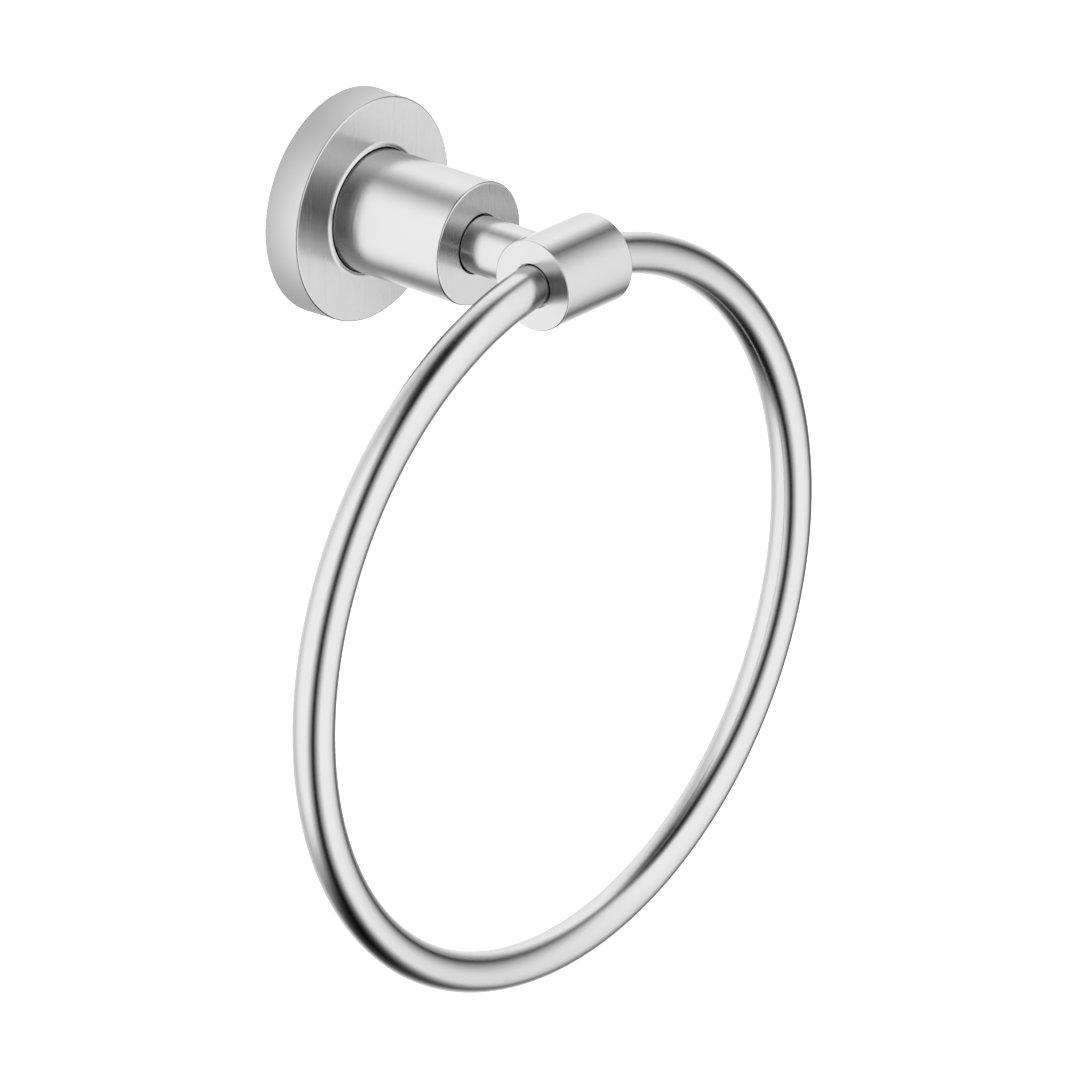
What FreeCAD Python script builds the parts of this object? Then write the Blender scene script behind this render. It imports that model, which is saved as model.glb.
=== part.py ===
import FreeCAD, Part
import math
import os

# Towel ring for a wall, in millimetres. +Z is up and the wall is the plane y = 0.
# The part stands out of the wall along -Y. The origin is the middle of the cover where it meets the wall.
# A reach or a depth is a distance from the wall, measured outwards.
#
# A steel plate is screwed to the wall and carries a boss with a groove all round.
# The post slides over the boss and is locked from below by a grub screw in that groove.
# The cover hides the plate. The post runs through its bore, gripped by a seal ring.
# The neck and the cross barrel are one piece, screwed to the post from inside.
# The ring's two ends have turned spigots that meet inside the barrel, each locked by a grub screw.

# Cover against the wall
flange_diameter = 50.8
flange_depth = 8.9
flange_taper = 0.2
flange_web = 2.0
flange_wall = 2.0
flange_hub_depth = 3.0
flange_hub_wall = 2.0
flange_lip_height = 0.45
flange_lip_width = 1.0
flange_lip_top = 0.15
flange_lip_round = 0.08

# Post
post_diameter = 27.6
post_reach = 38.8
post_web = 8.0
post_gap = 0.18

# Neck and cross barrel
neck_diameter = 12.8
neck_seat_depth = 3.0
neck_gap = 0.35
neck_blend = 0.8
barrel_reach = 62.5
barrel_diameter = 20.2
barrel_length = 21.4

# Ring, its seats in the barrel's ends and its spigots; ring_radius is to the middle of the bar
ring_radius = 80.9
bar_diameter = 9.2
seat_depth = 1.2
seat_gap = 0.25
seat_break = 0.25
spigot_diameter = 6.0
spigot_clearance = 0.05
spigot_end_gap = 3.0
dimple_depth = 0.5

# Wall plate and boss
plate_thickness = 2.5
plate_rim_gap = 0.6
slot_width = 4.6
slot_length = 7.0
boss_diameter = 18.0
boss_clearance = 0.1
boss_nose = 2.5
groove_depth = 1.0
groove_flat = 2.2

# Seal ring between post and cover, of nearly square section
seal_section = 1.6
seal_break = 0.3
seal_groove_width = 2.0

# Screws, pins and washer
thread_clearance = 0.03
boss_screw_diameter = 4.0
boss_screw_head = 7.5
boss_screw_length = 10.0
boss_screw_sink = 0.2
neck_screw_diameter = 6.0
neck_screw_head = 10.0
neck_screw_head_height = 6.0
neck_screw_length = 16.0
neck_screw_hole_gap = 0.2
washer_thickness = 1.2
washer_width = 2.6
washer_split = 0.8
grub_diameter = 4.0
grub_tip_diameter = 2.0
grub_margin = 0.5
post_grub_recess = 0.8
ring_grub_recess = 2.0
boss_pin_diameter = 2.5
boss_pin_length = 6.0
neck_pin_diameter = 1.6
neck_pin_length = 6.0
pin_clearance = 0.02
hole_run_out = 2.0

# Hexagon keys, across flats, and how deep a socket is as a share of the key
boss_screw_key = 2.5
neck_screw_key = 5.0
grub_key = 2.0
socket_share = 0.6

# Broken edges
front_round = 0.45
edge_round = 0.3
inner_break = 0.2

# Worked out from the values above
flange_radius = flange_diameter / 2
post_radius = post_diameter / 2
neck_radius = neck_diameter / 2
barrel_radius = barrel_diameter / 2
barrel_half = barrel_length / 2
bar_radius = bar_diameter / 2
spigot_radius = spigot_diameter / 2
boss_radius = boss_diameter / 2
grub_radius = grub_diameter / 2
grub_tip_radius = grub_tip_diameter / 2

flange_bore = post_radius + post_gap
flange_hub_radius = flange_bore + flange_hub_wall
flange_hub_end = flange_depth - flange_hub_depth
flange_lip_end = flange_depth + flange_lip_height
flange_inside = flange_radius - flange_wall
plate_radius = flange_inside - plate_rim_gap
slot_centre = (post_radius + plate_radius) / 2

grub_reach = flange_lip_end + grub_margin + grub_radius
groove_half = groove_flat / 2 + groove_depth
boss_reach = grub_reach + groove_half + boss_nose
groove_floor = boss_radius - groove_depth
post_bore = boss_radius + boss_clearance
post_bore_reach = post_reach - post_web

seal_middle = (flange_hub_end + flange_lip_end) / 2
seal_floor = flange_bore - seal_section

neck_start = post_reach - neck_seat_depth
neck_screw_start = post_bore_reach - washer_thickness
neck_screw_end = neck_screw_start + neck_screw_length
neck_thread_radius = neck_screw_diameter / 2 + thread_clearance
neck_pin_offset = (neck_screw_diameter / 2 + neck_radius) / 2
neck_pin_start = neck_start - neck_pin_length / 2
boss_pin_offset = (boss_screw_diameter / 2 + boss_radius) / 2

seat_floor = barrel_half - seat_depth
seat_radius = bar_radius + seat_gap
spigot_bore = spigot_radius + spigot_clearance
spigot_end = spigot_end_gap / 2
ring_grub_place = (seat_floor + spigot_end) / 2
ring_centre_height = -math.sqrt(ring_radius ** 2 - barrel_half ** 2)


def vector(x, y, z):
    return FreeCAD.Vector(x, y, z)


def outline(corners):
    """Closed outline in the XZ plane. A corner is (x, z) where it is sharp, (x, z, radius) where a tangent
    arc rounds it, and (x, z, size, "flat") where a chamfer takes that size off both sides."""
    points = [vector(corner[0], 0, corner[1]) for corner in corners]
    starts = []
    ends = []
    breaks = []
    for index, (_, _, *size) in enumerate(corners):
        point = points[index]
        if not size:
            starts.append(point)
            ends.append(point)
            breaks.append(None)
            continue
        before = (points[index - 1] - point).normalize()
        after = (points[(index + 1) % len(points)] - point).normalize()
        if size[-1] == "flat":
            start = point + before * size[0]
            end = point + after * size[0]
            edge = Part.LineSegment(start, end)
        else:
            radius = size[0]
            half_angle = before.getAngle(after) / 2
            inwards = (before + after).normalize()
            start = point + before * (radius / math.tan(half_angle))
            end = point + after * (radius / math.tan(half_angle))
            middle = point + inwards * (radius / math.sin(half_angle) - radius)
            edge = Part.Arc(start, middle, end)
        starts.append(start)
        ends.append(end)
        breaks.append(edge.toShape())
    edges = []
    for index, broken in enumerate(breaks):
        if broken is not None:
            edges.append(broken)
        following = starts[(index + 1) % len(starts)]
        if ends[index].distanceToPoint(following) > 1e-6:
            edges.append(Part.LineSegment(ends[index], following).toShape())
    return Part.Wire(edges)


def turned(corners):
    """Solid turned about Z from an outline whose corners are given by radius and height."""
    return Part.Face(outline(corners)).revolve(vector(0, 0, 0), vector(0, 0, 1), 360)


def rod(radius, start, end):
    return Part.makeCylinder(radius, end - start, vector(0, 0, start), vector(0, 0, 1))


def hexagon(across_flats, start, end):
    """Hexagon prism about Z for a key socket."""
    corner_radius = across_flats / math.sqrt(3)
    corners = []
    for step in range(7):
        angle = math.radians(60 * step)
        corners.append(vector(corner_radius * math.cos(angle), corner_radius * math.sin(angle), start))
    return Part.Face(Part.makePolygon(corners)).extrude(vector(0, 0, end - start))


def outwards(shape, x=0, z=0):
    """Turns a shape made about Z so that its Z points out of the wall, and moves it to x and z."""
    placed = shape.copy()
    placed.rotate(vector(0, 0, 0), vector(1, 0, 0), 90)
    placed.translate(vector(x, 0, z))
    return placed


def sideways(shape):
    """Turns a shape made about Z so that its Z points along +X on the barrel's axis."""
    placed = shape.copy()
    placed.rotate(vector(0, 0, 0), vector(0, 1, 0), 90)
    placed.translate(vector(0, -barrel_reach, 0))
    return placed


def upwards(shape, x, reach, z):
    """Moves a shape made about Z to x, reach and z."""
    placed = shape.copy()
    placed.translate(vector(x, -reach, z))
    return placed


def make_flange_cover():
    """Turned cup, open at the wall, with a hub inside for the seal ring and a narrow sloping lip round the
    post."""
    front = flange_depth
    inside_face = flange_depth - flange_web
    hub_end = flange_hub_end
    lip_radius = flange_bore + flange_lip_width
    return outwards(turned([
        (flange_radius, 0, inner_break, "flat"),
        (flange_radius - flange_taper, front, front_round),
        (lip_radius, front),
        (flange_bore + flange_lip_top, flange_lip_end),
        (flange_bore, flange_lip_end, flange_lip_round),
        (flange_bore, hub_end, inner_break, "flat"),
        (flange_hub_radius, hub_end, inner_break, "flat"),
        (flange_hub_radius, inside_face, edge_round),
        (flange_inside, inside_face, edge_round),
        (flange_inside, 0, inner_break, "flat"),
    ]))


def make_post():
    """Turned cup over the boss, with a seat for the neck in its face and a groove for the seal ring."""
    groove_start = seal_middle - seal_groove_width / 2
    groove_end = seal_middle + seal_groove_width / 2
    seat = neck_radius + neck_gap
    screw_hole = neck_screw_diameter / 2 + neck_screw_hole_gap
    body = turned([
        (post_bore, plate_thickness, inner_break, "flat"),
        (post_radius, plate_thickness, inner_break, "flat"),
        (post_radius, groove_start),
        (seal_floor, groove_start),
        (seal_floor, groove_end),
        (post_radius, groove_end),
        (post_radius, post_reach, front_round),
        (seat, post_reach),
        (seat, neck_start),
        (screw_hole, neck_start),
        (screw_hole, post_bore_reach),
        (post_bore, post_bore_reach, edge_round, "flat"),
    ])
    pin_hole = neck_pin_hole()
    grub_hole = rod(grub_radius + thread_clearance, -post_radius - hole_run_out, -post_bore + hole_run_out)
    return outwards(body).cut(pin_hole).cut(upwards(grub_hole, 0, grub_reach, 0))


def neck_pin_hole():
    half = neck_pin_length / 2 + pin_clearance
    hole = rod(neck_pin_diameter / 2 + pin_clearance, neck_start - half, neck_start + half)
    return outwards(hole, 0, neck_pin_offset)


def make_ring_holder():
    """Neck and cross barrel in one piece, with a blend where they meet and a lipped seat in each end."""
    neck = outwards(rod(neck_radius, neck_start, barrel_reach))
    barrel = sideways(turned([
        (0, -barrel_half),
        (barrel_radius, -barrel_half, edge_round),
        (barrel_radius, barrel_half, edge_round),
        (0, barrel_half),
    ]))
    holder = barrel.fuse(neck).removeSplitter()
    holder = holder.makeFillet(neck_blend, saddle_edges(holder))
    bore = sideways(turned([
        (0, -barrel_half),
        (seat_radius + seat_break, -barrel_half),
        (seat_radius, -barrel_half + seat_break),
        (seat_radius, -seat_floor),
        (spigot_bore, -seat_floor),
        (spigot_bore, seat_floor),
        (seat_radius, seat_floor),
        (seat_radius, barrel_half - seat_break),
        (seat_radius + seat_break, barrel_half),
        (0, barrel_half),
    ]))
    screw_hole = outwards(rod(neck_thread_radius, neck_start, neck_screw_end + hole_run_out))
    holder = holder.cut(bore).cut(screw_hole).cut(neck_pin_hole())
    for side in (-1, 1):
        grub_hole = rod(grub_radius + thread_clearance, -barrel_radius - hole_run_out, -spigot_bore / 2)
        holder = holder.cut(upwards(grub_hole, side * ring_grub_place, barrel_reach, 0))
    return holder


def saddle_edges(shape):
    """The edges where the neck meets the barrel: their points lie on both of their surfaces."""
    found = []
    for edge in shape.Edges:
        middle = edge.valueAt((edge.FirstParameter + edge.LastParameter) / 2)
        on_neck = abs(math.hypot(middle.x, middle.z) - neck_radius) < 1e-3
        on_barrel = abs(math.hypot(middle.y + barrel_reach, middle.z) - barrel_radius) < 1e-3
        if on_neck and on_barrel:
            found.append(edge)
    return found


def make_towel_ring():
    """Round bar bent to a circle through the two seats, cut flat at their floors, with turned spigots."""
    centre = vector(0, -barrel_reach, ring_centre_height)
    bar = Part.makeTorus(ring_radius, bar_radius, centre, vector(0, 1, 0))
    gap = Part.makeBox(2 * seat_floor, 4 * bar_radius, 8 * bar_radius)
    gap.translate(vector(-seat_floor, -barrel_reach - 2 * bar_radius, -4 * bar_radius))
    ring = bar.cut(gap)
    for side in (-1, 1):
        spigot = turned([
            (0, spigot_end),
            (spigot_radius, spigot_end, edge_round),
            (spigot_radius, seat_floor),
            (0, seat_floor),
        ])
        if side < 0:
            spigot.rotate(vector(0, 0, 0), vector(0, 1, 0), 180)
        dimple = turned([
            (0, -spigot_radius - hole_run_out),
            (grub_tip_radius + dimple_depth + hole_run_out, -spigot_radius - hole_run_out),
            (grub_tip_radius, -spigot_radius + dimple_depth),
            (0, -spigot_radius + dimple_depth),
        ])
        dimple = upwards(dimple, side * ring_grub_place, barrel_reach, 0)
        ring = ring.fuse(sideways(spigot).cut(dimple))
    return ring.removeSplitter()


def make_wall_plate():
    """Round plate with two slots for wall screws and a countersink for the boss screw from behind."""
    plate = turned([
        (0, 0),
        (plate_radius, 0, inner_break, "flat"),
        (plate_radius, plate_thickness, inner_break, "flat"),
        (0, plate_thickness),
    ])
    for side in (-1, 1):
        plate = plate.cut(slot_tool(side * slot_centre))
    plate = plate.cut(boss_screw_body(thread_clearance, 0))
    return outwards(plate.cut(boss_pin_hole()))


def slot_tool(x):
    """Slot with round ends along X, through the plate, centred on x."""
    half_straight = (slot_length - slot_width) / 2
    start = -hole_run_out
    height = plate_thickness + 2 * hole_run_out
    corner = vector(x - half_straight, -slot_width / 2, start)
    tool = Part.makeBox(2 * half_straight, slot_width, height, corner)
    for end in (-half_straight, half_straight):
        tool = tool.fuse(Part.makeCylinder(slot_width / 2, height, vector(x + end, 0, start)))
    return tool.removeSplitter()


def boss_screw_body(clearance, sink):
    """Countersunk screw about Z with its head at the wall, or the hole for it where clearance is given."""
    shank = boss_screw_diameter / 2 + clearance
    head = boss_screw_head / 2 + clearance
    cone_end = boss_screw_sink + head - shank
    return turned([
        (0, sink),
        (head, sink),
        (head, boss_screw_sink),
        (shank, cone_end),
        (shank, boss_screw_length),
        (0, boss_screw_length),
    ])


def boss_pin_hole():
    hole = rod(boss_pin_diameter / 2 + pin_clearance, -hole_run_out, boss_screw_sink + boss_pin_length)
    hole.translate(vector(0, boss_pin_offset, 0))
    return hole


def make_plate_boss():
    """Turned boss with a groove all round for the grub screw's tip."""
    boss = turned([
        (0, plate_thickness),
        (boss_radius, plate_thickness),
        (boss_radius, grub_reach - groove_half),
        (groove_floor, grub_reach - groove_flat / 2),
        (groove_floor, grub_reach + groove_flat / 2),
        (boss_radius, grub_reach + groove_half),
        (boss_radius, boss_reach, edge_round),
        (0, boss_reach),
    ])
    screw_hole = rod(boss_screw_diameter / 2 + thread_clearance, 0, boss_screw_length + hole_run_out)
    return outwards(boss.cut(screw_hole).cut(boss_pin_hole()))


def make_boss_screw():
    socket_end = boss_screw_sink + socket_share * boss_screw_key
    screw = boss_screw_body(0, boss_screw_sink / 2)
    return outwards(screw.cut(hexagon(boss_screw_key, 0, socket_end)))


def make_pin(diameter, start, length, offset):
    """Straight pin with broken ends, parallel to the post's axis and above it."""
    pin = turned([
        (0, start),
        (diameter / 2, start, inner_break, "flat"),
        (diameter / 2, start + length, inner_break, "flat"),
        (0, start + length),
    ])
    return outwards(pin, 0, offset)


def make_seal():
    """Seal ring that touches the floor of the post's groove and the cover's bore."""
    start = seal_middle - seal_section / 2
    end = seal_middle + seal_section / 2
    return outwards(turned([
        (seal_floor, start, seal_break, "flat"),
        (flange_bore, start, seal_break, "flat"),
        (flange_bore, end, seal_break, "flat"),
        (seal_floor, end, seal_break, "flat"),
    ]))


def make_neck_screw():
    """Socket head screw about the post's axis, its head inside the post."""
    head = neck_screw_head / 2
    shank = neck_screw_diameter / 2
    head_start = neck_screw_start - neck_screw_head_height
    screw = turned([
        (0, head_start),
        (head, head_start, edge_round),
        (head, neck_screw_start, inner_break, "flat"),
        (shank, neck_screw_start),
        (shank, neck_screw_end, edge_round),
        (0, neck_screw_end),
    ])
    socket = hexagon(neck_screw_key, head_start, head_start + socket_share * neck_screw_key)
    return outwards(screw.cut(socket))


def make_neck_washer():
    """Split lock washer under the neck screw's head, with a slanted slit."""
    inner = neck_screw_diameter / 2 + neck_screw_hole_gap
    outer = inner + washer_width
    washer = rod(outer, neck_screw_start, post_bore_reach).cut(rod(inner, neck_screw_start, post_bore_reach))
    slit = Part.makeBox(washer_split, outer, 4 * washer_thickness)
    slit.translate(vector(-washer_split / 2, -outer - inner / 2, -2 * washer_thickness))
    slit.rotate(vector(0, 0, 0), vector(0, 1, 0), 30)
    slit.translate(vector(0, 0, (neck_screw_start + post_bore_reach) / 2))
    return outwards(washer.cut(slit))


def grub_screw(start, tip):
    """Grub screw about Z from its socket end up to its flat tip."""
    screw = turned([
        (0, start),
        (grub_radius, start, inner_break, "flat"),
        (grub_radius, tip - grub_radius + grub_tip_radius),
        (grub_tip_radius, tip),
        (0, tip),
    ])
    return screw.cut(hexagon(grub_key, start, start + grub_key))


def make_post_grub_screw():
    return upwards(grub_screw(-post_radius + post_grub_recess, -groove_floor), 0, grub_reach, 0)


def make_ring_grub_screw(side):
    screw = grub_screw(-barrel_radius + ring_grub_recess, -spigot_radius + dimple_depth)
    return upwards(screw, side * ring_grub_place, barrel_reach, 0)


pieces = {
    "wall_plate": make_wall_plate(),
    "plate_boss": make_plate_boss(),
    "boss_screw": make_boss_screw(),
    "boss_pin": make_pin(boss_pin_diameter, boss_screw_sink, boss_pin_length, boss_pin_offset),
    "flange_cover": make_flange_cover(),
    "flange_seal_ring": make_seal(),
    "post": make_post(),
    "post_grub_screw": make_post_grub_screw(),
    "neck_screw": make_neck_screw(),
    "neck_washer": make_neck_washer(),
    "neck_pin": make_pin(neck_pin_diameter, neck_pin_start, neck_pin_length, neck_pin_offset),
    "ring_holder": make_ring_holder(),
    "towel_ring": make_towel_ring(),
}
for name, side in (("left", -1), ("right", 1)):
    pieces["ring_grub_screw_" + name] = make_ring_grub_screw(side)

os.makedirs("parts", exist_ok=True)
for name, shape in pieces.items():
    solids = shape.Solids
    print(name, "solids", len(solids), "valid", shape.isValid(), "volume", round(shape.Volume, 1))
    single = solids[0] if len(solids) == 1 else Part.makeCompound(solids)
    single.exportStep(os.path.join("parts", name + ".step"))
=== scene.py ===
import bpy
import bmesh
import math
import numpy as np
from mathutils import Matrix, Vector


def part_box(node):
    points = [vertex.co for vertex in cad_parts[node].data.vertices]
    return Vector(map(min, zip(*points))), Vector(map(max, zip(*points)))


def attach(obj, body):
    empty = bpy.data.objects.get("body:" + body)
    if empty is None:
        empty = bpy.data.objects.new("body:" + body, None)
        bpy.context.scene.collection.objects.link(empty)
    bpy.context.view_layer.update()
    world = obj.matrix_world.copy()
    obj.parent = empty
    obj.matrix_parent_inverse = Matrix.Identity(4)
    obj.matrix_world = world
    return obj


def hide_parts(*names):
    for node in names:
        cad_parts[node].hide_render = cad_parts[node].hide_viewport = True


# Towel ring in brushed metal. Lengths are in millimetres until a mesh is made, +Z is up, and the wall is the
# plane y = 0. A reach is a distance from the wall along -Y. The post, the cover and the neck are turned about
# an axis along Y, the barrel about one along X.

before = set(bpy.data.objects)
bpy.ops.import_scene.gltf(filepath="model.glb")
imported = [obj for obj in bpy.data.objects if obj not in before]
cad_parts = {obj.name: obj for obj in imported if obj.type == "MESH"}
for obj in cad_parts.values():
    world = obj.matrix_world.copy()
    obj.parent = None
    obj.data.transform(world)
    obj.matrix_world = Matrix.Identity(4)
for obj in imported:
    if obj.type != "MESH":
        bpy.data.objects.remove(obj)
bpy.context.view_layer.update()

MILLIMETRE = 0.001


def span(node, axis):
    """Lowest and highest coordinate of a node of the frame along one axis, in millimetres."""
    low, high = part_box(node)
    return round(low[axis] / MILLIMETRE, 3), round(high[axis] / MILLIMETRE, 3)


# Sizes read from the frame
flange_radius = span("flange_cover", 0)[1]
flange_lip_end = -span("flange_cover", 1)[0]
post_radius = span("post", 0)[1]
post_reach = -span("post", 1)[0]
post_start = -span("post", 1)[1]
neck_start = -span("ring_holder", 1)[1]
barrel_half = span("ring_holder", 0)[1]
barrel_radius = span("ring_holder", 2)[1]
barrel_reach = -span("ring_holder", 1)[0] - barrel_radius
bar_radius = (span("towel_ring", 1)[1] - span("towel_ring", 1)[0]) / 2
ring_radius = span("towel_ring", 0)[1] - bar_radius
ring_centre = span("towel_ring", 2)[0] + bar_radius + ring_radius

# Walls, bores and seats
flange_lip_height = 0.45
flange_lip_width = 0.8
flange_lip_foot = 1.2
flange_lip_top = 0.15
flange_taper = 0.2
flange_depth = flange_lip_end - flange_lip_height
flange_wall = 2.0
flange_hub_wall = 2.0
flange_hub_depth = 3.0
post_gap = 0.26
boss_gap = 0.1
post_bore = span("plate_boss", 0)[1] + boss_gap
post_bore_end = -span("neck_washer", 1)[0]
neck_radius = 6.4
neck_gap = 0.35
neck_blend = 0.8
neck_hole = 3.03
neck_hole_spare = 2.0
neck_hole_end = -span("neck_screw", 1)[0] + neck_hole_spare
screw_passage = 3.2
seal_middle = (span("flange_seal_ring", 1)[0] + span("flange_seal_ring", 1)[1]) / -2
seal_groove_width = 2.0
seal_groove_depth = 1.42
seal_floor = post_radius - seal_groove_depth
grub_hole = 2.03
post_grub_past_lip = 2.5
post_grub_reach = flange_lip_end + post_grub_past_lip
ring_grub_place = (span("ring_grub_screw_right", 0)[0] + span("ring_grub_screw_right", 0)[1]) / 2
pin_hole = 0.82
pin_height = (span("neck_pin", 2)[0] + span("neck_pin", 2)[1]) / 2
pin_hole_depth = 3.02
seat_depth = 1.2
seat_gap = 0.25
seat_radius = bar_radius + seat_gap
seat_lip = 0.15
spigot_bore = 3.05
spigot_radius = 3.0
spigot_end = 1.5

# Broken edges
edge_round = 0.3
lip_round = 0.08
front_round = 0.45
inner_round = 0.2

# Fineness of the surfaces, with turns in degrees
turn_step = 1.5
bore_turn_step = 5.5
arc_steps = 7
blend_steps = 9
hole_steps = 4
neck_steps = 40
saddle_steps = 10
section_steps = 96
bar_steps = 640
post_grid = 0.28
barrel_grid = 0.3
floor_grid = 0.2
support = 0.06
edge_margin = 1.0
weld_distance = 2e-6
sharp_angle = 38

# A full turn starts and ends above, and holes from below are in its middle
turn_start, turn_end = -270, 90
downwards = -90
full_turn = np.radians(np.arange(turn_start, turn_end + turn_step / 2, turn_step))

# Windows left open in a grid for the collar round a hole: half sizes along the turn, in degrees, and across
post_window_turn, post_window_half = 18, 2.8
barrel_window_turn, bore_window_turn, grub_window_half = 16.5, 60.5, 2.85
neck_window_turn = 57
post_pin_window_turn, neck_pin_window_turn, pin_window_half = 15, 16, 1.0

# Radius beyond which a seat's floor has the full turn's points. Inside it the floor joins the bore's points
seat_floor_change = 4.0


# Surfaces, as arrays of quads with their corners in millimetres

def about_post(radius, reach, angle):
    """Point of a surface turned about the post's axis: (r cos a, -reach, r sin a)."""
    return np.stack(np.broadcast_arrays(radius * np.cos(angle), -reach, radius * np.sin(angle)), axis=-1)


def about_barrel(radius, across, angle):
    """Point of a surface turned about the barrel's axis: (across, r cos a - barrel reach, r sin a)."""
    return np.stack(
        np.broadcast_arrays(across, radius * np.cos(angle) - barrel_reach, radius * np.sin(angle)), axis=-1)


def quads(points, keep=None):
    """The quads of a grid of points; keep leaves some of them out."""
    corners = np.stack([points[:-1, :-1], points[1:, :-1], points[1:, 1:], points[:-1, 1:]], axis=2)
    return corners.reshape(-1, 4, 3) if keep is None else corners[keep]


def between(first, last, steps=1):
    """Ruled surface: straight lines from each point of one curve to the same point of another."""
    share = np.linspace(0, 1, steps + 1)[:, None, None]
    return quads(first + (last - first) * share)


def rounded(corners):
    """Line through corners given as (radius, height, round). A round is a circular arc tangent to both
    sides, and a plain point stands a little before and after each corner, so that shading stays flat up to
    it."""
    spots = np.array([corner[:2] for corner in corners], float)
    line = [spots[:1]]
    for index in range(1, len(corners) - 1):
        spot, radius = spots[index], corners[index][2]
        before = spots[index - 1] - spot
        after = spots[index + 1] - spot
        before /= np.hypot(*before)
        after /= np.hypot(*after)
        half = math.acos(float(np.clip(before @ after, -1, 1))) / 2
        reach = radius / math.tan(half)
        centre = spot + (before + after) / np.hypot(*(before + after)) * radius / math.sin(half)
        first = spot + before * reach - centre
        last = spot + after * reach - centre
        sweep = math.pi - 2 * half
        share = np.linspace(0, 1, arc_steps + 1)[:, None]
        arc = first * np.sin((1 - share) * sweep) + last * np.sin(share * sweep)
        arc = centre + arc / math.sin(sweep)
        if radius == 0:
            arc = spot[None]
        line += [spot + before[None] * (reach + support), arc, spot + after[None] * (reach + support)]
    line.append(spots[-1:])
    return np.concatenate(line)


def turned(about, corners, turns=full_turn):
    """Surface of revolution: the rounded line of (radius, height) corners carried once round the axis."""
    line = rounded(corners)
    return quads(about(line[None, :, 0], line[None, :, 1], turns[:, None]))


def sheet(place, turns, heights, windows=()):
    """Surface place(turn, height) over a grid of lines, open inside each window of lines."""
    keep = np.ones((len(turns) - 1, len(heights) - 1), bool)
    turn_middles = (turns[:-1] + turns[1:]) / 2
    height_middles = (heights[:-1] + heights[1:]) / 2
    for window in windows:
        in_turn = abs(turn_middles - window["turn"]) < window["half_turn"]
        in_height = abs(height_middles - window["height"]) < window["half_height"]
        keep &= ~(in_turn[:, None] & in_height[None, :])
    return quads(place(turns[:, None], heights[None, :]), keep)


def opening(turn, half_turn, height, half_height):
    """Window in a grid, with its turns given in degrees."""
    turn, half_turn = math.radians(turn), math.radians(half_turn)
    return {"turn": turn, "half_turn": half_turn, "height": height, "half_height": half_height}


def border(turns, heights, window):
    """The grid's points once round a window, and the direction in which each lies from its middle."""
    tiny = 0.01
    t = turns[abs(turns - window["turn"]) < window["half_turn"] + tiny]
    h = heights[abs(heights - window["height"]) < window["half_height"] + tiny]
    along = [np.full(len(h), t[0]), t[1:], np.full(len(h) - 1, t[-1]), t[-2::-1]]
    up = [h, np.full(len(t) - 1, h[-1]), h[-2::-1], np.full(len(t) - 1, h[0])]
    loop_turn, loop_height = np.concatenate(along), np.concatenate(up)
    direction = np.arctan2(
        (loop_turn - window["turn"]) / window["half_turn"],
        (loop_height - window["height"]) / window["half_height"])
    return loop_turn, loop_height, np.unwrap(direction)


def collar(place, loop, rim, steps=6):
    """Surface between a window's border and a rim inside it, in even steps of turn and height."""
    share = np.linspace(0, 1, steps + 1)[:, None]
    turn = loop[0] + (rim[0] - loop[0]) * share
    height = loop[1] + (rim[1] - loop[1]) * share
    return quads(place(turn, height))


def rim_on_round(radius, hole, window, direction):
    """Where a round hole that is square to a cylinder's axis meets the cylinder. At a direction d round the
    hole, the sine of the turn is hole sin d / radius and the height is hole cos d, both from its middle."""
    return (window["turn"] + np.arcsin(hole * np.sin(direction) / radius),
            window["height"] + hole * np.cos(direction))


def rim_on_flat(hole, window, direction):
    """Rim of a round hole in a flat turned face, as turns about the face's middle and radii."""
    away = window["height"] + hole * np.cos(direction)
    aside = hole * np.sin(direction)
    return window["turn"] + np.arctan2(aside, away), np.hypot(away, aside)


def lines(*stops, step):
    """Grid lines at even steps of about step between the stops."""
    parts = [np.linspace(a, b, max(2, round((b - a) / step) + 1))[:-1] for a, b in zip(stops, stops[1:])]
    return np.concatenate(parts + [[stops[-1]]])


def blind_hole(about, rim, face, end):
    """Wall of a blind hole from its rim on a flat face to its flat end."""
    mouth = about(rim[1], face, rim[0])
    floor = about(rim[1], end, rim[0])
    middle = np.broadcast_to((floor.min(0) + floor.max(0)) / 2, floor.shape)
    return [between(mouth, floor), between(floor, middle)]


def flange_cover_surface():
    """Turned cup, open at the wall, with a hub behind its front and a sloping lip round the bore. The rim
    narrows towards the front in a straight line."""
    bore = post_radius + post_gap
    hub = bore + flange_hub_wall
    inside = flange_radius - flange_wall
    back = flange_depth - flange_wall
    hub_end = flange_depth - flange_hub_depth
    middle = flange_depth / 2
    middle_radius = flange_radius - flange_taper / 2
    return [turned(about_post, [
        (middle_radius, middle),
        (flange_radius - flange_taper, flange_depth, front_round),
        (bore + flange_lip_width, flange_depth, flange_lip_foot),
        (bore + flange_lip_top, flange_lip_end, 0),
        (bore, flange_lip_end, lip_round),
        (bore, hub_end, inner_round),
        (hub, hub_end, inner_round),
        (hub, back, edge_round),
        (inside, back, edge_round),
        (inside, 0, inner_round),
        (flange_radius, 0, inner_round),
        (middle_radius, middle),
    ])]


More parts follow.
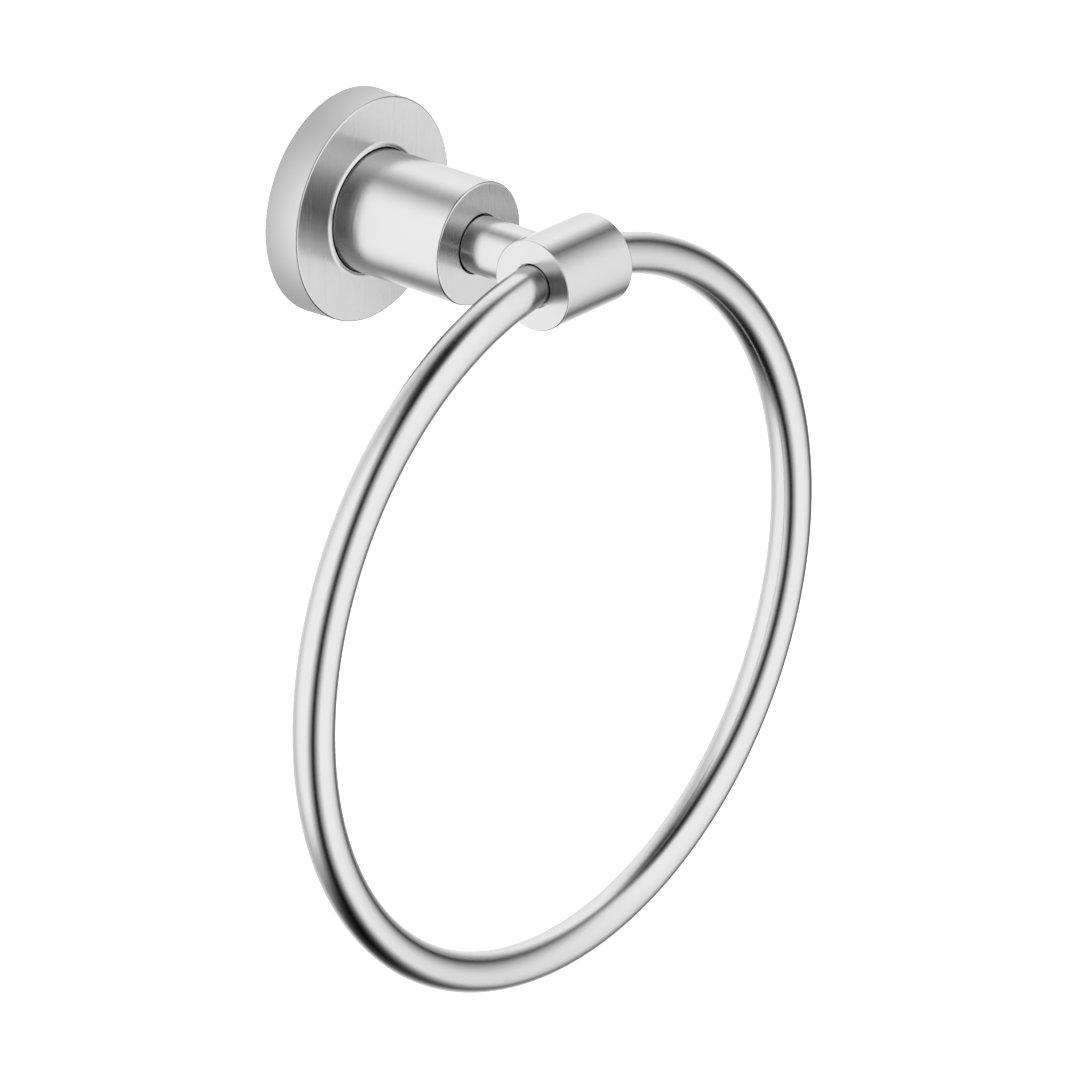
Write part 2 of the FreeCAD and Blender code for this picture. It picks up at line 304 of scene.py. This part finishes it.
def post_surface():
    """Turned cup with a groove for the seal, a seat for the neck, and a cross hole for its grub screw."""
    groove_start = seal_middle - seal_groove_width / 2
    groove_end = seal_middle + seal_groove_width / 2
    seat = neck_radius + neck_gap
    side_start = groove_end + inner_round
    side_end = post_reach - edge_margin
    bore_start = post_start + edge_margin
    bore_end = post_bore_end - edge_margin
    cross_window = opening(downwards, post_window_turn, post_grub_reach, post_window_half)
    low = post_grub_reach - post_window_half
    high = post_grub_reach + post_window_half
    side_lines = lines(side_start, low, high, side_end, step=post_grid)
    bore_lines = lines(bore_start, low, high, bore_end, step=post_grid)

    def side(turn, reach):
        return about_post(post_radius, reach, turn)

    def bore(turn, reach):
        return about_post(post_bore, reach, turn)

    def seat_floor(turn, radius):
        return about_post(radius, neck_start, turn)

    loop = border(full_turn, side_lines, cross_window)
    outer_rim = rim_on_round(post_radius, grub_hole, cross_window, loop[2])
    inner_rim = rim_on_round(post_bore, grub_hole, cross_window, loop[2])
    pin_window = opening(turn_start, post_pin_window_turn, pin_height, pin_window_half)
    pin_turns = full_turn - math.pi
    pin_low, pin_high = pin_height - pin_window_half, pin_height + pin_window_half
    floor_lines = lines(screw_passage, pin_low, pin_high, seat, step=floor_grid)
    pin_loop = border(pin_turns, floor_lines, pin_window)
    pin_rim = rim_on_flat(pin_hole, pin_window, pin_loop[2])
    return [
        turned(about_post, [
            (post_bore, bore_start),
            (post_bore, post_start, inner_round),
            (post_radius, post_start, inner_round),
            (post_radius, groove_start, 0),
            (seal_floor, groove_start, inner_round),
            (seal_floor, groove_end, inner_round),
            (post_radius, groove_end, 0),
            (post_radius, side_start),
        ]),
        sheet(side, full_turn, side_lines, [cross_window]),
        collar(side, loop, outer_rim),
        between(side(*outer_rim), bore(*inner_rim), hole_steps),
        turned(about_post, [
            (post_radius, side_end),
            (post_radius, post_reach, front_round),
            (seat, post_reach, inner_round / 2),
            (seat, neck_start),
        ]),
        sheet(seat_floor, pin_turns, floor_lines, [pin_window]),
        collar(seat_floor, pin_loop, pin_rim),
        *blind_hole(about_post, pin_rim, neck_start, neck_start - pin_hole_depth),
        turned(about_post, [
            (screw_passage, neck_start),
            (screw_passage, post_bore_end, 0),
            (post_bore, post_bore_end, edge_round),
            (post_bore, bore_end),
        ]),
        sheet(bore, full_turn, bore_lines, [cross_window]),
        collar(bore, border(full_turn, bore_lines, cross_window), inner_rim),
    ]


def saddle_blend(direction):
    """Rolling-ball blend between neck and barrel. The ball of radius b touches both, so its centre runs at
    neck radius + b from the neck's axis and at barrel radius + b from the barrel's. Each arc goes from the
    ball's touching point on the barrel to the one on the neck, turning evenly about the centre."""
    wide = neck_radius + neck_blend
    far = barrel_radius + neck_blend
    side, rise = wide * np.cos(direction), wide * np.sin(direction)
    depth = np.sqrt(far ** 2 - rise ** 2)
    centre = np.stack([side, depth - barrel_reach, rise], axis=-1)
    to_barrel = -np.stack([0 * side, depth, rise], axis=-1) / far
    to_neck = -np.stack([np.cos(direction), 0 * side, np.sin(direction)], axis=-1)
    sweep = np.arccos(np.sum(to_barrel * to_neck, axis=-1))[:, None]
    share = np.linspace(0, 1, blend_steps + 1)[:, None, None]
    turning = (np.sin((1 - share) * sweep) * to_barrel + np.sin(share * sweep) * to_neck) / np.sin(sweep)
    rim = np.arcsin(rise / far), side
    return centre + neck_blend * turning, rim


def ring_holder_surface():
    """Neck and cross barrel in one skin: blended saddle, lipped seats, spigot bore and tapped holes."""
    seat_floor = barrel_half - seat_depth
    side_end = barrel_half - edge_margin
    bore_low, bore_high = downwards - bore_window_turn, downwards + bore_window_turn
    inner_turns = np.radians(lines(turn_start, bore_low, bore_high, turn_end, step=bore_turn_step))
    near, far = ring_grub_place - grub_window_half, ring_grub_place + grub_window_half
    neck_window = opening(0, neck_window_turn, 0, far)
    side_lines = lines(-side_end, -far, -near, near, far, side_end, step=barrel_grid)
    bore_lines = lines(-seat_floor, -far, -near, near, far, seat_floor, step=barrel_grid)

    def side(turn, across):
        return about_barrel(barrel_radius, across, turn)

    def bore(turn, across):
        return about_barrel(spigot_bore, across, turn)

    def neck_end(turn, radius):
        return about_post(radius, neck_start, turn)

    skins = []
    outer_windows = [neck_window]
    inner_windows = []
    for place in (-ring_grub_place, ring_grub_place):
        outer = opening(downwards, barrel_window_turn, place, grub_window_half)
        inner = opening(downwards, bore_window_turn, place, grub_window_half)
        outer_loop = border(full_turn, side_lines, outer)
        inner_loop = border(inner_turns, bore_lines, inner)
        outer_rim = rim_on_round(barrel_radius, grub_hole, outer, outer_loop[2])
        inner_rim = rim_on_round(spigot_bore, grub_hole, inner, inner_loop[2])
        skins += [
            collar(side, outer_loop, outer_rim),
            between(side(*outer_rim), bore(*inner_rim), hole_steps),
            collar(bore, inner_loop, inner_rim),
        ]
        outer_windows.append(outer)
        inner_windows.append(inner)
    skins += [
        sheet(side, full_turn, side_lines, outer_windows),
        sheet(bore, inner_turns, bore_lines, inner_windows),
    ]
    for end in (-1, 1):
        skins.append(turned(about_barrel, [
            (barrel_radius, end * side_end),
            (barrel_radius, end * barrel_half, edge_round),
            (seat_radius + seat_lip, end * barrel_half, 0),
            (seat_radius, end * (barrel_half - seat_lip), 0),
            (seat_radius, end * seat_floor, 0),
            (seat_floor_change, end * seat_floor),
        ]))
        skins.append(seat_ring(end * seat_floor, seat_floor_change, inner_turns))
    loop = border(full_turn, side_lines, neck_window)
    arcs, rim = saddle_blend(loop[2])
    neck_foot = about_post(neck_radius, neck_start, loop[2])
    face_turns = loop[2]
    pin_low, pin_high = pin_height - pin_window_half, pin_height + pin_window_half
    face_lines = lines(neck_hole, pin_low, pin_high, neck_radius, step=floor_grid)
    pin_window = opening(turn_end, neck_pin_window_turn, pin_height, pin_window_half)
    pin_window = snapped(face_turns, pin_window)
    pin_loop = border(face_turns, face_lines, pin_window)
    pin_rim = rim_on_flat(pin_hole, pin_window, pin_loop[2])
    mouth = about_post(neck_hole, neck_start, face_turns)
    hole_end = about_post(neck_hole, neck_hole_end, face_turns)
    hole_middle = np.broadcast_to([0, -neck_hole_end, 0], hole_end.shape)
    skins += [
        collar(side, loop, rim, saddle_steps),
        quads(arcs),
        between(arcs[-1], neck_foot, neck_steps),
        sheet(neck_end, face_turns, face_lines, [pin_window]),
        collar(neck_end, pin_loop, pin_rim),
        *blind_hole(about_post, pin_rim, neck_start, neck_start + pin_hole_depth),
        between(mouth, hole_end, hole_steps),
        between(hole_end, hole_middle),
    ]
    return skins


def snapped(turns, window):
    """The window with its sides moved in to lines of the grid, and its middle moved midway between them."""
    inside = turns[abs(turns - window["turn"]) < window["half_turn"]]
    return window | {"turn": (inside[0] + inside[-1]) / 2, "half_turn": (inside[-1] - inside[0]) / 2}


def seat_ring(across, outer, inner_turns):
    """Floor of a seat, from an outer circle with the full turn's points to the bore, which has fewer. Each
    point of the outer circle is joined to the one of the bore's that is nearest in turn."""
    full = about_barrel(outer, across, full_turn)
    near = inner_turns[np.abs(full_turn[:, None] - inner_turns[None, :]).argmin(1)]
    near[0], near[-1] = inner_turns[0], inner_turns[-1]
    return between(full, about_barrel(spigot_bore, across, near))


def towel_ring_surface():
    """Bar bent to a circle: a point of the ring at angle a from its top and angle s round the section is
    ((R + r cos s) sin a, r sin s, (R + r cos s) cos a) from the centre. The bar ends in the planes of the
    seats' floors, where R + r cos s times sin a is the floor's place, and goes on as turned spigots."""
    floor = barrel_half - seat_depth
    section = np.linspace(0, 2 * math.pi, section_steps + 1)[None, :]
    wide = ring_radius + bar_radius * np.cos(section)
    start = np.arcsin(floor / wide)
    share = np.linspace(0, 1, bar_steps + 1)[:, None]
    angle = start + (2 * math.pi - 2 * start) * share
    bar = np.stack(np.broadcast_arrays(
        wide * np.sin(angle),
        bar_radius * np.sin(section) - barrel_reach,
        ring_centre + wide * np.cos(angle)), axis=-1)
    skins = [quads(bar)]
    for end, ring_end in ((1, bar[0]), (-1, bar[-1])):
        turns = np.unwrap(np.arctan2(ring_end[:, 2], ring_end[:, 1] + barrel_reach))
        shoulder = about_barrel(spigot_radius, end * floor, turns)
        skins.append(between(ring_end, shoulder, steps=2))
        skins.append(turned(about_barrel, [
            (spigot_radius, end * floor),
            (spigot_radius, end * spigot_end, edge_round),
            (0, end * spigot_end),
        ], turns))
    return skins


# Meshes

def build(name, skins, node):
    """Closed, smooth mesh of the skins, joined where their borders meet, in place of the frame's node."""
    corners = np.concatenate(skins) * MILLIMETRE
    mesh = bpy.data.meshes.new(name)
    mesh.from_pydata(corners.reshape(-1, 3), [], np.arange(len(corners) * 4).reshape(-1, 4))
    shell = bmesh.new()
    shell.from_mesh(mesh)
    bmesh.ops.remove_doubles(shell, verts=shell.verts, dist=weld_distance)
    bmesh.ops.recalc_face_normals(shell, faces=shell.faces)
    shell.to_mesh(mesh)
    shell.free()
    mesh.shade_smooth()
    mesh.set_sharp_from_angle(angle=math.radians(sharp_angle))
    piece = bpy.data.objects.new(name, mesh)
    bpy.context.scene.collection.objects.link(piece)
    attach(piece, "root")
    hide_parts(node)
    return piece


def vertices_of(mesh):
    """The mesh's points in millimetres."""
    points = np.empty(len(mesh.vertices) * 3)
    mesh.vertices.foreach_get("co", points)
    return points.reshape(-1, 3) / MILLIMETRE


def face_normals_of(mesh):
    normals = np.empty(len(mesh.polygons) * 3)
    mesh.polygons.foreach_get("normal", normals)
    return normals.reshape(-1, 3)


def face_middles_of(mesh):
    """The middles of the mesh's faces in millimetres."""
    middles = np.empty(len(mesh.polygons) * 3)
    mesh.polygons.foreach_get("center", middles)
    return middles.reshape(-1, 3) / MILLIMETRE


def give_materials(piece, materials, index):
    """Materials of a piece, and which one each of its faces takes."""
    for material in materials:
        piece.data.materials.append(material)
    piece.data.polygons.foreach_set("material_index", index.astype(np.int32))


def write_vectors(mesh, name, vectors):
    """One vector for each point of the mesh, as an attribute that a material can read."""
    layer = mesh.attributes.new(name, "FLOAT_VECTOR", "POINT")
    layer.data.foreach_set("vector", vectors.astype(np.float32).ravel())


def straighten_ring(mesh):
    """Coordinates of the ring as if its bar were pulled straight: (length from the top along the bar,
    distance outwards from the bar's middle line, distance along Y), and the bar's direction."""
    points = vertices_of(mesh)
    angle = np.arctan2(points[:, 0], points[:, 2] - ring_centre) % (2 * math.pi)
    outwards = np.hypot(points[:, 0], points[:, 2] - ring_centre) - ring_radius
    straight = np.stack([ring_radius * angle, outwards, points[:, 1] + barrel_reach], axis=-1)
    write_vectors(mesh, "straightened", straight * MILLIMETRE)
    write_vectors(mesh, "bar_direction", np.stack([np.cos(angle), 0 * angle, -np.sin(angle)], axis=-1))


# Materials

# Brush lines: how many a metre crosses square to them, and how many along them
fine_lines = 6000
long_way = 90

# Greys of the metal seen straight on and at its edges
metal_grey = 0.56
metal_grey_spread = 0.004
edge_grey = (0.74, 0.74, 0.74, 1)

# Noise values that are stretched over a material's whole range. Those beyond them are cut off
narrow_span = (0.35, 0.65)
wide_span = (0.3, 0.7)

# Depth of the lines' and grains' relief, in metres
relief_depth = 2e-5
rubber_relief_depth = 3e-5


class Nodes:
    """Small helper that adds nodes to a tree and links what it is given."""

    def __init__(self, tree):
        self.tree = tree
        tree.nodes.clear()

    def add(self, kind, inputs=None, **settings):
        """A node with its inputs set or linked, by name or number."""
        node = self.tree.nodes.new(kind)
        for key, value in settings.items():
            setattr(node, key, value)
        for key, value in (inputs or {}).items():
            if isinstance(value, bpy.types.NodeSocket):
                self.tree.links.new(value, node.inputs[key])
            else:
                node.inputs[key].default_value = value
        return node

    def coordinates(self, attribute=None):
        """The object's own coordinates, or an attribute of the piece."""
        if attribute:
            return self.add("ShaderNodeAttribute", attribute_name=attribute).outputs["Vector"]
        return self.add("ShaderNodeTexCoord").outputs["Object"]

    def noise(self, vector, scale, detail, roughness):
        """Noise stretched by a scale per metre in each direction."""
        mapped = self.add("ShaderNodeMapping", {"Vector": vector, "Scale": scale}).outputs[0]
        return self.add("ShaderNodeTexNoise", {
            "Vector": mapped, "Scale": 1.0, "Detail": detail, "Roughness": roughness}).outputs["Fac"]

    def remap(self, value, low, high, to_low=0.0, to_high=1.0, smooth=False):
        return self.add("ShaderNodeMapRange", {
            "Value": value, "From Min": low, "From Max": high, "To Min": to_low, "To Max": to_high},
            interpolation_type="SMOOTHSTEP" if smooth else "LINEAR").outputs["Result"]

    def maths(self, operation, first, second=0.0):
        return self.add("ShaderNodeMath", {0: first, 1: second}, operation=operation).outputs[0]

    def vector_maths(self, operation, first, second=(0, 0, 0)):
        """The resulting vector, or the number that a dot product gives."""
        node = self.add("ShaderNodeVectorMath", {0: first, 1: second}, operation=operation)
        return node.outputs["Value" if operation == "DOT_PRODUCT" else "Vector"]

    def relief(self, height, strength, distance, **inputs):
        """Normal of a surface with a fine relief."""
        return self.add("ShaderNodeBump", {
            "Strength": strength, "Distance": distance, "Height": height, **inputs}).outputs[0]

    def blend(self, factor, first, second):
        """Colour between two greys."""
        node = self.add("ShaderNodeMix", {"Factor": factor}, data_type="RGBA")
        for key, grey in (("A", first), ("B", second)):
            socket = [s for s in node.inputs if s.name == key and s.type == "RGBA"][0]
            socket.default_value = (grey, grey, grey, 1)
        return [s for s in node.outputs if s.type == "RGBA"][0]

    def surface(self, **inputs):
        """The material's only shader, with its inputs named with underscores for spaces."""
        inputs = {key.replace("_", " "): value for key, value in inputs.items()}
        shader = self.add("ShaderNodeBsdfPrincipled", inputs)
        self.add("ShaderNodeOutputMaterial", {"Surface": shader.outputs[0]})


def new_material(name):
    material = bpy.data.materials.new(name)
    material.use_nodes = True
    return material, Nodes(material.node_tree)


def brushed_metal(
        name, fine, rough_way, attribute=None, turned_lines=False,
        rough=0.19, drawn=0.5, lean=0.0, grain=0.3):
    """Satin metal with brush lines. fine gives how many lines a metre crosses in each direction, so that a
    low number is the lines' own direction. rough_way is square to the lines, the way they scatter light, and
    drawn is how much further they scatter it that way. lean tips the shading a little towards the front, and
    grain is the strength of the lines' relief."""
    hair_share, strand_size = 0.5, 0.31
    rough_spread, cloud_spread, cloud_scale = 0.15, 0.01, 60
    material, nodes = new_material(name)
    where = nodes.coordinates(attribute)
    hair = nodes.noise(where, fine, detail=3.0, roughness=0.65)
    strands = nodes.noise(where, [value * strand_size for value in fine], detail=2.0, roughness=0.5)
    clouds = nodes.noise(where, [cloud_scale] * 3, detail=2.0, roughness=0.5)
    hair = nodes.maths("MULTIPLY", hair, hair_share)
    strands = nodes.maths("MULTIPLY", strands, 1 - hair_share)
    marks = nodes.maths("ADD", hair, strands)
    colour = nodes.blend(
        nodes.remap(marks, *narrow_span), metal_grey - metal_grey_spread, metal_grey + metal_grey_spread)
    spread = nodes.remap(marks, *narrow_span, rough * (1 - rough_spread), rough * (1 + rough_spread))
    spread = nodes.maths("ADD", spread, nodes.remap(clouds, *wide_span, -cloud_spread, cloud_spread))
    facing = nodes.add("ShaderNodeNewGeometry").outputs["Normal"]
    facing = nodes.vector_maths("NORMALIZE", nodes.vector_maths("ADD", facing, (0, -lean, 0)))
    if isinstance(rough_way, str):
        tangent = nodes.coordinates(rough_way)
    else:
        tangent = nodes.add("ShaderNodeCombineXYZ", dict(zip("XYZ", rough_way))).outputs[0]
    nodes.surface(
        Base_Color=colour, Metallic=1.0, Specular_Tint=edge_grey, Roughness=spread, Anisotropic=drawn,
        Anisotropic_Rotation=0.25 if turned_lines else 0.0, Tangent=tangent,
        Normal=nodes.relief(marks, grain, relief_depth, Normal=facing))
    return material


def rim_with_painted_shade(name):
    """Finely turned, duller metal for the cover's rim: an even soft grey, a little rougher towards the wall,
    with painted shade that makes it a little darker towards the wall."""
    # The darker grey at the wall is painted shade, not the metal's own colour; the front grey is the rim's
    # own
    wall_painted_shade_grey, front_grey, uneven = 0.6, 0.64, 0.03
    wall_rough, front_rough = 0.76, 0.58
    front = -flange_depth * MILLIMETRE
    material, nodes = new_material(name)
    where = nodes.coordinates()
    marks = nodes.noise(where, (long_way, fine_lines, long_way), detail=3.0, roughness=0.65)
    outwards = nodes.add("ShaderNodeSeparateXYZ", {0: where}).outputs["Y"]
    # Grey from the wall to the front: painted shade darkens it towards the wall, and the marks add uneven
    # random tone
    share = nodes.remap(outwards, 0.0, front)
    share = nodes.maths("ADD", share, nodes.remap(marks, *narrow_span, -uneven, uneven))
    nodes.surface(
        Base_Color=nodes.blend(share, wall_painted_shade_grey, front_grey), Metallic=1.0, Specular_Tint=edge_grey,
        Roughness=nodes.remap(outwards, 0.0, front, wall_rough, front_rough),
        Normal=nodes.relief(marks, strength=0.1, distance=relief_depth))
    return material


def plain_steel(name, grey, rough):
    """Bright plated steel with a fine even grain and faint cloudy patches."""
    grain_scale, cloud_scale, cloud_depth = 1500, 180, 0.1
    smoother, rougher = 0.05, 0.07
    material, nodes = new_material(name)
    where = nodes.coordinates()
    grains = nodes.noise(where, [grain_scale] * 3, detail=3.0, roughness=0.6)
    clouds = nodes.noise(where, [cloud_scale] * 3, detail=3.0, roughness=0.55)
    nodes.surface(
        Base_Color=nodes.blend(
            nodes.remap(clouds, *narrow_span), grey * (1 - cloud_depth), grey * (1 + cloud_depth)),
        Metallic=1.0, Roughness=nodes.remap(grains, *wide_span, rough - smoother, rough + rougher),
        Normal=nodes.relief(grains, strength=0.15, distance=relief_depth))
    return material


def black_rubber():
    """Matt black rubber with a fine dull grain."""
    grain_scale = 2500
    dark_grey, pale_grey = 0.018, 0.03
    smoothest, roughest = 0.55, 0.7
    material, nodes = new_material("black_rubber")
    grains = nodes.noise(nodes.coordinates(), [grain_scale] * 3, detail=2.0, roughness=0.5)
    nodes.surface(
        Base_Color=nodes.blend(nodes.remap(grains, *wide_span), dark_grey, pale_grey),
        Roughness=nodes.remap(grains, *wide_span, smoothest, roughest),
        Normal=nodes.relief(grains, strength=0.2, distance=rubber_relief_depth))
    return material


about_y = brushed_metal(
    "brushed_round_the_post", fine=(long_way, fine_lines, long_way), rough_way=(0, 1, 0), rough=0.19,
    drawn=0.4, lean=0.06, grain=0.7)
along_x = brushed_metal(
    "brushed_along_the_barrel", fine=(long_way, fine_lines, fine_lines), rough_way=(1, 0, 0), rough=0.15,
    turned_lines=True, grain=0.7)
flat_y = brushed_metal(
    "brushed_front_faces", fine=(fine_lines, long_way, long_way), rough_way=(1, 0, 0), rough=0.25, drawn=0.35,
    grain=0.22)
flat_x = brushed_metal(
    "brushed_barrel_ends", fine=(long_way, fine_lines, long_way), rough_way=(0, 1, 0), rough=0.21, drawn=0.4)
along_ring = brushed_metal(
    "brushed_across_the_bar", fine=(fine_lines, long_way, long_way), rough_way="bar_direction",
    attribute="straightened")
flange_rim = rim_with_painted_shade("turned_rim")


# Pieces and where each takes its materials

flange_cover = build("flange_cover_skin", flange_cover_surface(), "flange_cover")
post = build("post_skin", post_surface(), "post")
ring_holder = build("ring_holder_skin", ring_holder_surface(), "ring_holder")
towel_ring = build("towel_ring_skin", towel_ring_surface(), "towel_ring")

# How far along an axis a flat face's normal points, and how far past the rim and the neck their faces count
flat_enough = 0.7
rim_margin, neck_margin = 0.05, 0.1

for piece in (flange_cover, post):
    facing = abs(face_normals_of(piece.data)[:, 1]) > flat_enough
    middles = face_middles_of(piece.data)
    away = np.hypot(middles[:, 0], middles[:, 2])
    on_rim = (away > flange_radius - flange_taper - rim_margin) & ~facing
    give_materials(piece, [about_y, flat_y, flange_rim], np.where(on_rim, 2, facing))

holder_normals = face_normals_of(ring_holder.data)
on_neck = face_middles_of(ring_holder.data)[:, 1] > barrel_radius - barrel_reach - neck_margin
holder_kind = np.where(abs(holder_normals[:, 0]) > flat_enough, 2, 1)
give_materials(ring_holder, [about_y, along_x, flat_x], np.where(on_neck, 0, holder_kind))

straighten_ring(towel_ring.data)
towel_ring.data.materials.append(along_ring)

plate_steel = plain_steel("plate_steel", grey=0.38, rough=0.3)
screw_steel = plain_steel("screw_steel", grey=0.28, rough=0.28)
rubber = black_rubber()
inner_materials = {
    "wall_plate": plate_steel,
    "plate_boss": plate_steel,
    "flange_seal_ring": rubber,
}
for name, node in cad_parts.items():
    if name not in ("flange_cover", "post", "ring_holder", "towel_ring"):
        node.data.materials.clear()
        node.data.materials.append(inner_materials.get(name, screw_steel))


# Studio

def sine(degrees):
    return math.sin(math.radians(degrees))


def dark_gap(nodes, ways, azimuth, inner, outer, depth, more_depth=0.0, drift=0.0, even_width=False):
    """Light that an upright dark gap leaves in a direction. The gap has its full depth within the inner half
    width and fades out to the outer one, in degrees. more_depth comes on as it leaves the horizon, drift
    turns it below the horizon, and even_width keeps its width where it rises."""
    toward = (math.sin(math.radians(azimuth)), math.cos(math.radians(azimuth)), 0)
    aside = (toward[1], -toward[0], 0)
    near = nodes.vector_maths("DOT_PRODUCT", ways["level"], toward)
    off = nodes.vector_maths("DOT_PRODUCT", ways["level"], aside)
    away = nodes.maths("ARCTAN2", off, near)
    away = nodes.maths("SUBTRACT", away, nodes.maths("MULTIPLY", ways["lower"], math.radians(drift)))
    away = nodes.maths("ABSOLUTE", away)
    if even_width:
        away = nodes.maths("MULTIPLY", away, ways["level_share"])
    inside = nodes.remap(away, math.radians(inner), math.radians(outer), 1.0, 0.0)
    full_depth = nodes.maths("ADD", nodes.maths("MULTIPLY", ways["off_level"], more_depth), depth)
    return nodes.maths("SUBTRACT", 1.0, nodes.maths("MULTIPLY", inside, full_depth))


def studio_world():
    """White walls all round with upright dark gaps that fade out evenly to both sides, dark above and below.
    What the camera sees behind the object is plain white."""
    wall_light = 1.47
    top_lean, top_azimuth = math.radians(5), math.radians(-110)
    top_start, top_end, top_light = 56, 84, 0.1
    bottom_end, bottom_start, bottom_light = -82, -46, 0.05
    gaps = (
        {"azimuth": -126.5, "inner": 4, "outer": 33, "depth": 0.985, "even_width": True},
        {"azimuth": -10, "inner": 0, "outer": 32, "depth": 0.27, "more_depth": 0.45, "even_width": True},
        {"azimuth": 97.5, "inner": 3, "outer": 33, "depth": 0.97, "more_depth": -0.3, "drift": 7},
        {"azimuth": 127, "inner": 0, "outer": 28, "depth": 0.15},
    )
    world = bpy.data.worlds.new("studio")
    world.use_nodes = True
    bpy.context.scene.world = world
    nodes = Nodes(world.node_tree)
    way = nodes.add("ShaderNodeTexCoord").outputs["Generated"]
    height = nodes.add("ShaderNodeSeparateXYZ", {0: way}).outputs["Z"]
    off_level = nodes.maths("MULTIPLY", height, height)
    ways = {
        "level": nodes.vector_maths("NORMALIZE", nodes.vector_maths("MULTIPLY", way, (1, 1, 0))),
        "lower": nodes.maths("MINIMUM", height, 0.0),
        "off_level": off_level,
        "level_share": nodes.maths("SQRT", nodes.maths("SUBTRACT", 1.0, off_level)),
    }
    sideways = math.sin(top_lean)
    top = (sideways * math.sin(top_azimuth), sideways * math.cos(top_azimuth), math.cos(top_lean))
    top_height = nodes.vector_maths("DOT_PRODUCT", way, top)
    above = nodes.remap(top_height, sine(top_start), sine(top_end), 1.0, top_light, smooth=True)
    below = nodes.remap(height, sine(bottom_end), sine(bottom_start), bottom_light, 1.0, smooth=True)
    light = nodes.maths("MULTIPLY", above, below)
    for gap in gaps:
        light = nodes.maths("MULTIPLY", light, dark_gap(nodes, ways, **gap))
    light = nodes.maths("MULTIPLY", light, wall_light)
    walls = nodes.add("ShaderNodeBackground", {"Color": (1, 1, 1, 1), "Strength": light}).outputs[0]
    backdrop = nodes.add("ShaderNodeBackground", {"Color": (1, 1, 1, 1), "Strength": 1.0}).outputs[0]
    seen = nodes.add("ShaderNodeLightPath").outputs["Is Camera Ray"]
    mixed = nodes.add("ShaderNodeMixShader", {0: seen, 1: walls, 2: backdrop}).outputs[0]
    nodes.add("ShaderNodeOutputWorld", {"Surface": mixed})


def studio_floor():
    """Plain pale floor well below the object, and a wide soft lamp high above it. The metal mirrors neither.
    These lengths and the camera's are in metres."""
    half, height = 8.0, -2.6
    lamp_height, lamp_width, lamp_power = 3.2, 14.0, 1500.0
    mesh = bpy.data.meshes.new("floor")
    corners = [(-half, -half, height), (half, -half, height), (half, half, height), (-half, half, height)]
    mesh.from_pydata(corners, [], [(0, 1, 2, 3)])
    floor = bpy.data.objects.new("floor", mesh)
    bpy.context.scene.collection.objects.link(floor)
    material, nodes = new_material("pale_floor")
    nodes.surface(Base_Color=(0.9, 0.9, 0.9, 1), Roughness=0.9)
    mesh.materials.append(material)
    floor.visible_glossy = False
    lamp = bpy.data.lights.new("soft_lamp", "AREA")
    lamp.shape = "SQUARE"
    lamp.size = lamp_width
    lamp.energy = lamp_power
    softbox = bpy.data.objects.new("soft_lamp", lamp)
    softbox.location = (0, 0, lamp_height)
    softbox.visible_glossy = False
    softbox.visible_camera = False
    bpy.context.scene.collection.objects.link(softbox)


def studio_camera():
    """Camera at the photograph's angle, turned about its own line of sight by a small roll. It stands a
    little aside of the line to its aim, so that the object lies in the frame as in the photograph."""
    azimuth, elevation, roll = math.radians(-50.529), math.radians(24.013), math.radians(0.725)
    distance = 1.945255
    aim = Vector((0.0, -0.035, -0.070))
    aside, above = 0.016772, -0.000547
    flat = math.cos(elevation)
    back = Vector((math.sin(azimuth) * flat, -math.cos(azimuth) * flat, math.sin(elevation)))
    level = Vector((math.cos(azimuth), math.sin(azimuth), 0))
    upright = back.cross(level)
    right = level * math.cos(roll) + upright * math.sin(roll)
    up = upright * math.cos(roll) - level * math.sin(roll)
    place = aim + back * distance + right * aside + up * above
    camera = bpy.data.cameras.new("camera")
    camera.sensor_width = 36.0
    camera.lens = 297.822
    camera.clip_end = 50.0
    holder = bpy.data.objects.new("camera", camera)
    holder.matrix_world = Matrix((
        (right.x, up.x, back.x, place.x),
        (right.y, up.y, back.y, place.y),
        (right.z, up.z, back.z, place.z),
        (0, 0, 0, 1)))
    bpy.context.scene.collection.objects.link(holder)
    bpy.context.scene.camera = holder


studio_world()
studio_floor()
studio_camera()
bpy.context.scene.view_settings.view_transform = "Standard"
